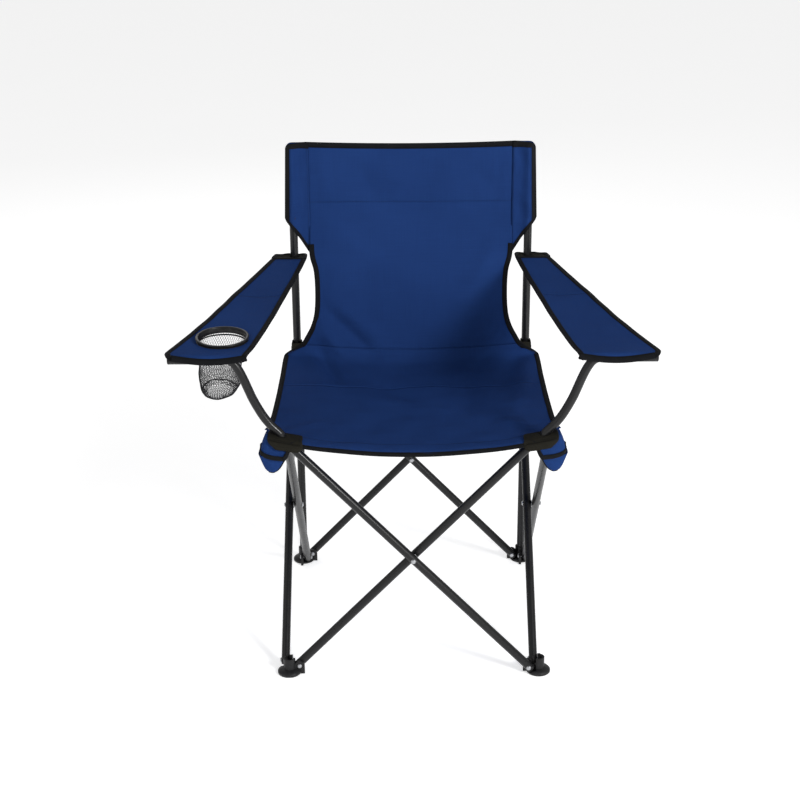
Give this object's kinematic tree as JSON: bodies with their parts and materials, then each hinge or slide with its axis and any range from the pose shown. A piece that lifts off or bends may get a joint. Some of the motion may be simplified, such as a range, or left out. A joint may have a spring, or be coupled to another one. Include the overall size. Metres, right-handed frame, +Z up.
{
  "type": "folding camp chair",
  "caption": "Folding camp chair with a tubular steel scissor frame, a fabric sling seat and back, fabric arm rests and a net cup holder.",
  "frame": {"origin": "on the floor, at the middle of the chair's width and depth", "axes": "+Z up, -Y towards the front of the chair, +X to the right for someone who faces the chair from the front"},
  "size_m": [0.804, 0.482, 0.852],
  "materials": {
    "black_steel": "gloss black powder coat",
    "moulding": "black moulded nylon",
    "rivet": "zinc plated",
    "cup_ring": "black moulded ring",
    "netting": "black knitted netting",
    "webbing": "black woven tape",
    "blue_cloth": "royal blue woven polyester, coated on the back"
  },
  "bodies": {
    "frame_left": {"post_left": "black_steel", "post_cap_left": "moulding", "foot_rear_left": "moulding", "foot_rivets_rear_left": "rivet", "back_panel": "blue_cloth", "back_sleeve_left": "blue_cloth", "arm_end_left": "webbing"},
    "frame_right": {"post_right": "black_steel", "post_cap_right": "moulding", "foot_rear_right": "moulding", "foot_rivets_rear_right": "rivet", "back_sleeve_right": "blue_cloth", "arm_end_right": "webbing"},
    "rear_outer": {"rear_outer_leg": "black_steel", "rear_outer_plugs": "moulding", "rear_centre_rivet": "rivet"},
    "rear_inner": {"rear_inner_leg": "black_steel", "rear_inner_plugs": "moulding"},
    "left_inner": {"left_inner_leg": "black_steel", "left_inner_plugs": "moulding", "left_centre_rivet": "rivet"},
    "left_outer": {"left_outer_leg": "black_steel", "left_outer_plugs": "moulding"},
    "right_outer": {"right_outer_leg": "black_steel", "right_outer_plugs": "moulding", "right_centre_rivet": "rivet"},
    "right_inner": {"right_inner_leg": "black_steel", "right_inner_plugs": "moulding"},
    "front_inner": {"front_inner_leg": "black_steel", "front_inner_plugs": "moulding", "front_centre_rivet": "rivet"},
    "front_outer": {"front_outer_leg": "black_steel", "front_outer_plugs": "moulding"},
    "corner_front_left": {"foot_front_left": "moulding", "foot_rivets_front_left": "rivet"},
    "corner_front_right": {"foot_front_right": "moulding", "foot_rivets_front_right": "rivet"},
    "slider_left": {"slider_left": "moulding", "slider_rivets_left": "rivet", "post_loop_left": "webbing"},
    "slider_right": {"slider_right": "moulding", "slider_rivets_right": "rivet", "post_loop_right": "webbing"},
    "hub_left": {"hub_left": "moulding", "hub_rivets_left": "rivet", "arm_tube_left": "black_steel", "seat_corner_left": "blue_cloth"},
    "hub_right": {"hub_right": "moulding", "hub_rivets_right": "rivet", "arm_tube_right": "black_steel", "seat_corner_right": "blue_cloth"},
    "seat_rear": {"seat_rear": "blue_cloth"},
    "seat_front": {"seat_front": "blue_cloth"},
    "arm_left_rear": {"arm_rest_left_rear": "blue_cloth"},
    "arm_left_front": {"arm_rest_left_front": "blue_cloth", "cup_ring": "cup_ring", "cup_net": "netting"},
    "arm_right_rear": {"arm_rest_right_rear": "blue_cloth"},
    "arm_right_front": {"arm_rest_right_front": "blue_cloth"}
  },
  "joints": [
    {"name": "fold", "type": "hinge", "parent": "frame_left", "child": "rear_outer", "pos_m": [-0.202, 0.228, 0.015], "axis": [0, -1, 0], "range_deg": [0, 36], "deforming": ["back_panel", "seat_rear", "seat_front", "arm_rest_left_rear", "arm_rest_left_front", "arm_rest_right_rear", "arm_rest_right_front"]},
    {"name": "rear_cross", "type": "hinge", "parent": "rear_outer", "child": "rear_inner", "pos_m": [0, 0.22, 0.225], "axis": [0, 1, 0], "range_deg": [0, 72]},
    {"name": "rear_right_foot_pivot", "type": "hinge", "parent": "rear_inner", "child": "frame_right", "pos_m": [0.202, 0.212, 0.015], "axis": [0, -1, 0], "range_deg": [0, 36]},
    {"name": "left_inner_pivot", "type": "hinge", "parent": "frame_left", "child": "left_inner", "pos_m": [-0.212, 0.202, 0.015], "axis": [-1, 0, 0], "range_deg": [0, 36]},
    {"name": "left_cross", "type": "hinge", "parent": "left_inner", "child": "left_outer", "pos_m": [-0.22, 0, 0.225], "axis": [1, 0, 0], "range_deg": [0, 72]},
    {"name": "front_left_foot_pivot", "type": "hinge", "parent": "left_outer", "child": "corner_front_left", "pos_m": [-0.228, -0.202, 0.015], "axis": [-1, 0, 0], "range_deg": [0, 36]},
    {"name": "right_outer_pivot", "type": "hinge", "parent": "frame_right", "child": "right_outer", "pos_m": [0.228, 0.202, 0.015], "axis": [-1, 0, 0], "range_deg": [0, 36]},
    {"name": "right_cross", "type": "hinge", "parent": "right_outer", "child": "right_inner", "pos_m": [0.22, 0, 0.225], "axis": [1, 0, 0], "range_deg": [0, 72]},
    {"name": "front_right_foot_pivot", "type": "hinge", "parent": "right_inner", "child": "corner_front_right", "pos_m": [0.212, -0.202, 0.015], "axis": [-1, 0, 0], "range_deg": [0, 36]},
    {"name": "front_inner_pivot", "type": "hinge", "parent": "corner_front_left", "child": "front_inner", "pos_m": [-0.202, -0.212, 0.015], "axis": [0, -1, 0], "range_deg": [0, 36]},
    {"name": "front_outer_pivot", "type": "hinge", "parent": "corner_front_right", "child": "front_outer", "pos_m": [0.202, -0.228, 0.015], "axis": [0, 1, 0], "range_deg": [0, 36]},
    {"name": "slider_left_pivot", "type": "hinge", "parent": "left_outer", "child": "slider_left", "pos_m": [-0.228, 0.202, 0.435], "axis": [-1, 0, 0], "range_deg": [0, 36]},
    {"name": "slider_right_pivot", "type": "hinge", "parent": "right_inner", "child": "slider_right", "pos_m": [0.212, 0.202, 0.435], "axis": [-1, 0, 0], "range_deg": [0, 36]},
    {"name": "hub_left_pivot", "type": "hinge", "parent": "left_inner", "child": "hub_left", "pos_m": [-0.212, -0.202, 0.435], "axis": [1, 0, 0], "range_deg": [0, 36]},
    {"name": "hub_right_pivot", "type": "hinge", "parent": "right_outer", "child": "hub_right", "pos_m": [0.228, -0.202, 0.435], "axis": [1, 0, 0], "range_deg": [0, 36]},
    {"name": "seat_rear_bend", "type": "hinge", "parent": "frame_left", "child": "seat_rear", "pos_m": [0, 0.191, 0.4555], "axis": [1, 0, 0], "range_deg": [0, 72.9]},
    {"name": "seat_front_bend", "type": "hinge", "parent": "hub_left", "child": "seat_front", "pos_m": [0, -0.22, 0.44], "axis": [-1, 0, 0], "range_deg": [0, 76]},
    {"name": "arm_left_rear_bend", "type": "hinge", "parent": "frame_left", "child": "arm_left_rear", "pos_m": [-0.22, 0.203, 0.6385], "axis": [1, 0, 0], "range_deg": [0, 61.66]},
    {"name": "arm_left_front_bend", "type": "hinge", "parent": "hub_left", "child": "arm_left_front", "pos_m": [-0.32, -0.22, 0.588], "axis": [-1, 0, 0], "range_deg": [0, 88.62]},
    {"name": "arm_right_rear_bend", "type": "hinge", "parent": "frame_right", "child": "arm_right_rear", "pos_m": [0.22, 0.203, 0.6385], "axis": [1, 0, 0], "range_deg": [0, 61.66]},
    {"name": "arm_right_front_bend", "type": "hinge", "parent": "hub_right", "child": "arm_right_front", "pos_m": [0.32, -0.22, 0.588], "axis": [-1, 0, 0], "range_deg": [0, 88.62]}
  ],
  "couplings": [
    {"joint": "rear_cross", "follows": "fold", "ratio": 2},
    {"joint": "rear_right_foot_pivot", "follows": "fold", "ratio": 1},
    {"joint": "left_inner_pivot", "follows": "fold", "ratio": 1},
    {"joint": "left_cross", "follows": "fold", "ratio": 2},
    {"joint": "front_left_foot_pivot", "follows": "fold", "ratio": 1},
    {"joint": "right_outer_pivot", "follows": "fold", "ratio": 1},
    {"joint": "right_cross", "follows": "fold", "ratio": 2},
    {"joint": "front_right_foot_pivot", "follows": "fold", "ratio": 1},
    {"joint": "front_inner_pivot", "follows": "fold", "ratio": 1},
    {"joint": "front_outer_pivot", "follows": "fold", "ratio": 1},
    {"joint": "slider_left_pivot", "follows": "fold", "ratio": 1},
    {"joint": "slider_right_pivot", "follows": "fold", "ratio": 1},
    {"joint": "hub_left_pivot", "follows": "fold", "ratio": 1},
    {"joint": "hub_right_pivot", "follows": "fold", "ratio": 1},
    {"joint": "seat_rear_bend", "follows": "fold", "ratio": 2.0235},
    {"joint": "seat_front_bend", "follows": "fold", "ratio": 2.1098},
    {"joint": "arm_left_rear_bend", "follows": "fold", "ratio": 1.7115},
    {"joint": "arm_left_front_bend", "follows": "fold", "ratio": 2.4603},
    {"joint": "arm_right_rear_bend", "follows": "fold", "ratio": 1.7115},
    {"joint": "arm_right_front_bend", "follows": "fold", "ratio": 2.4603}
  ]
}
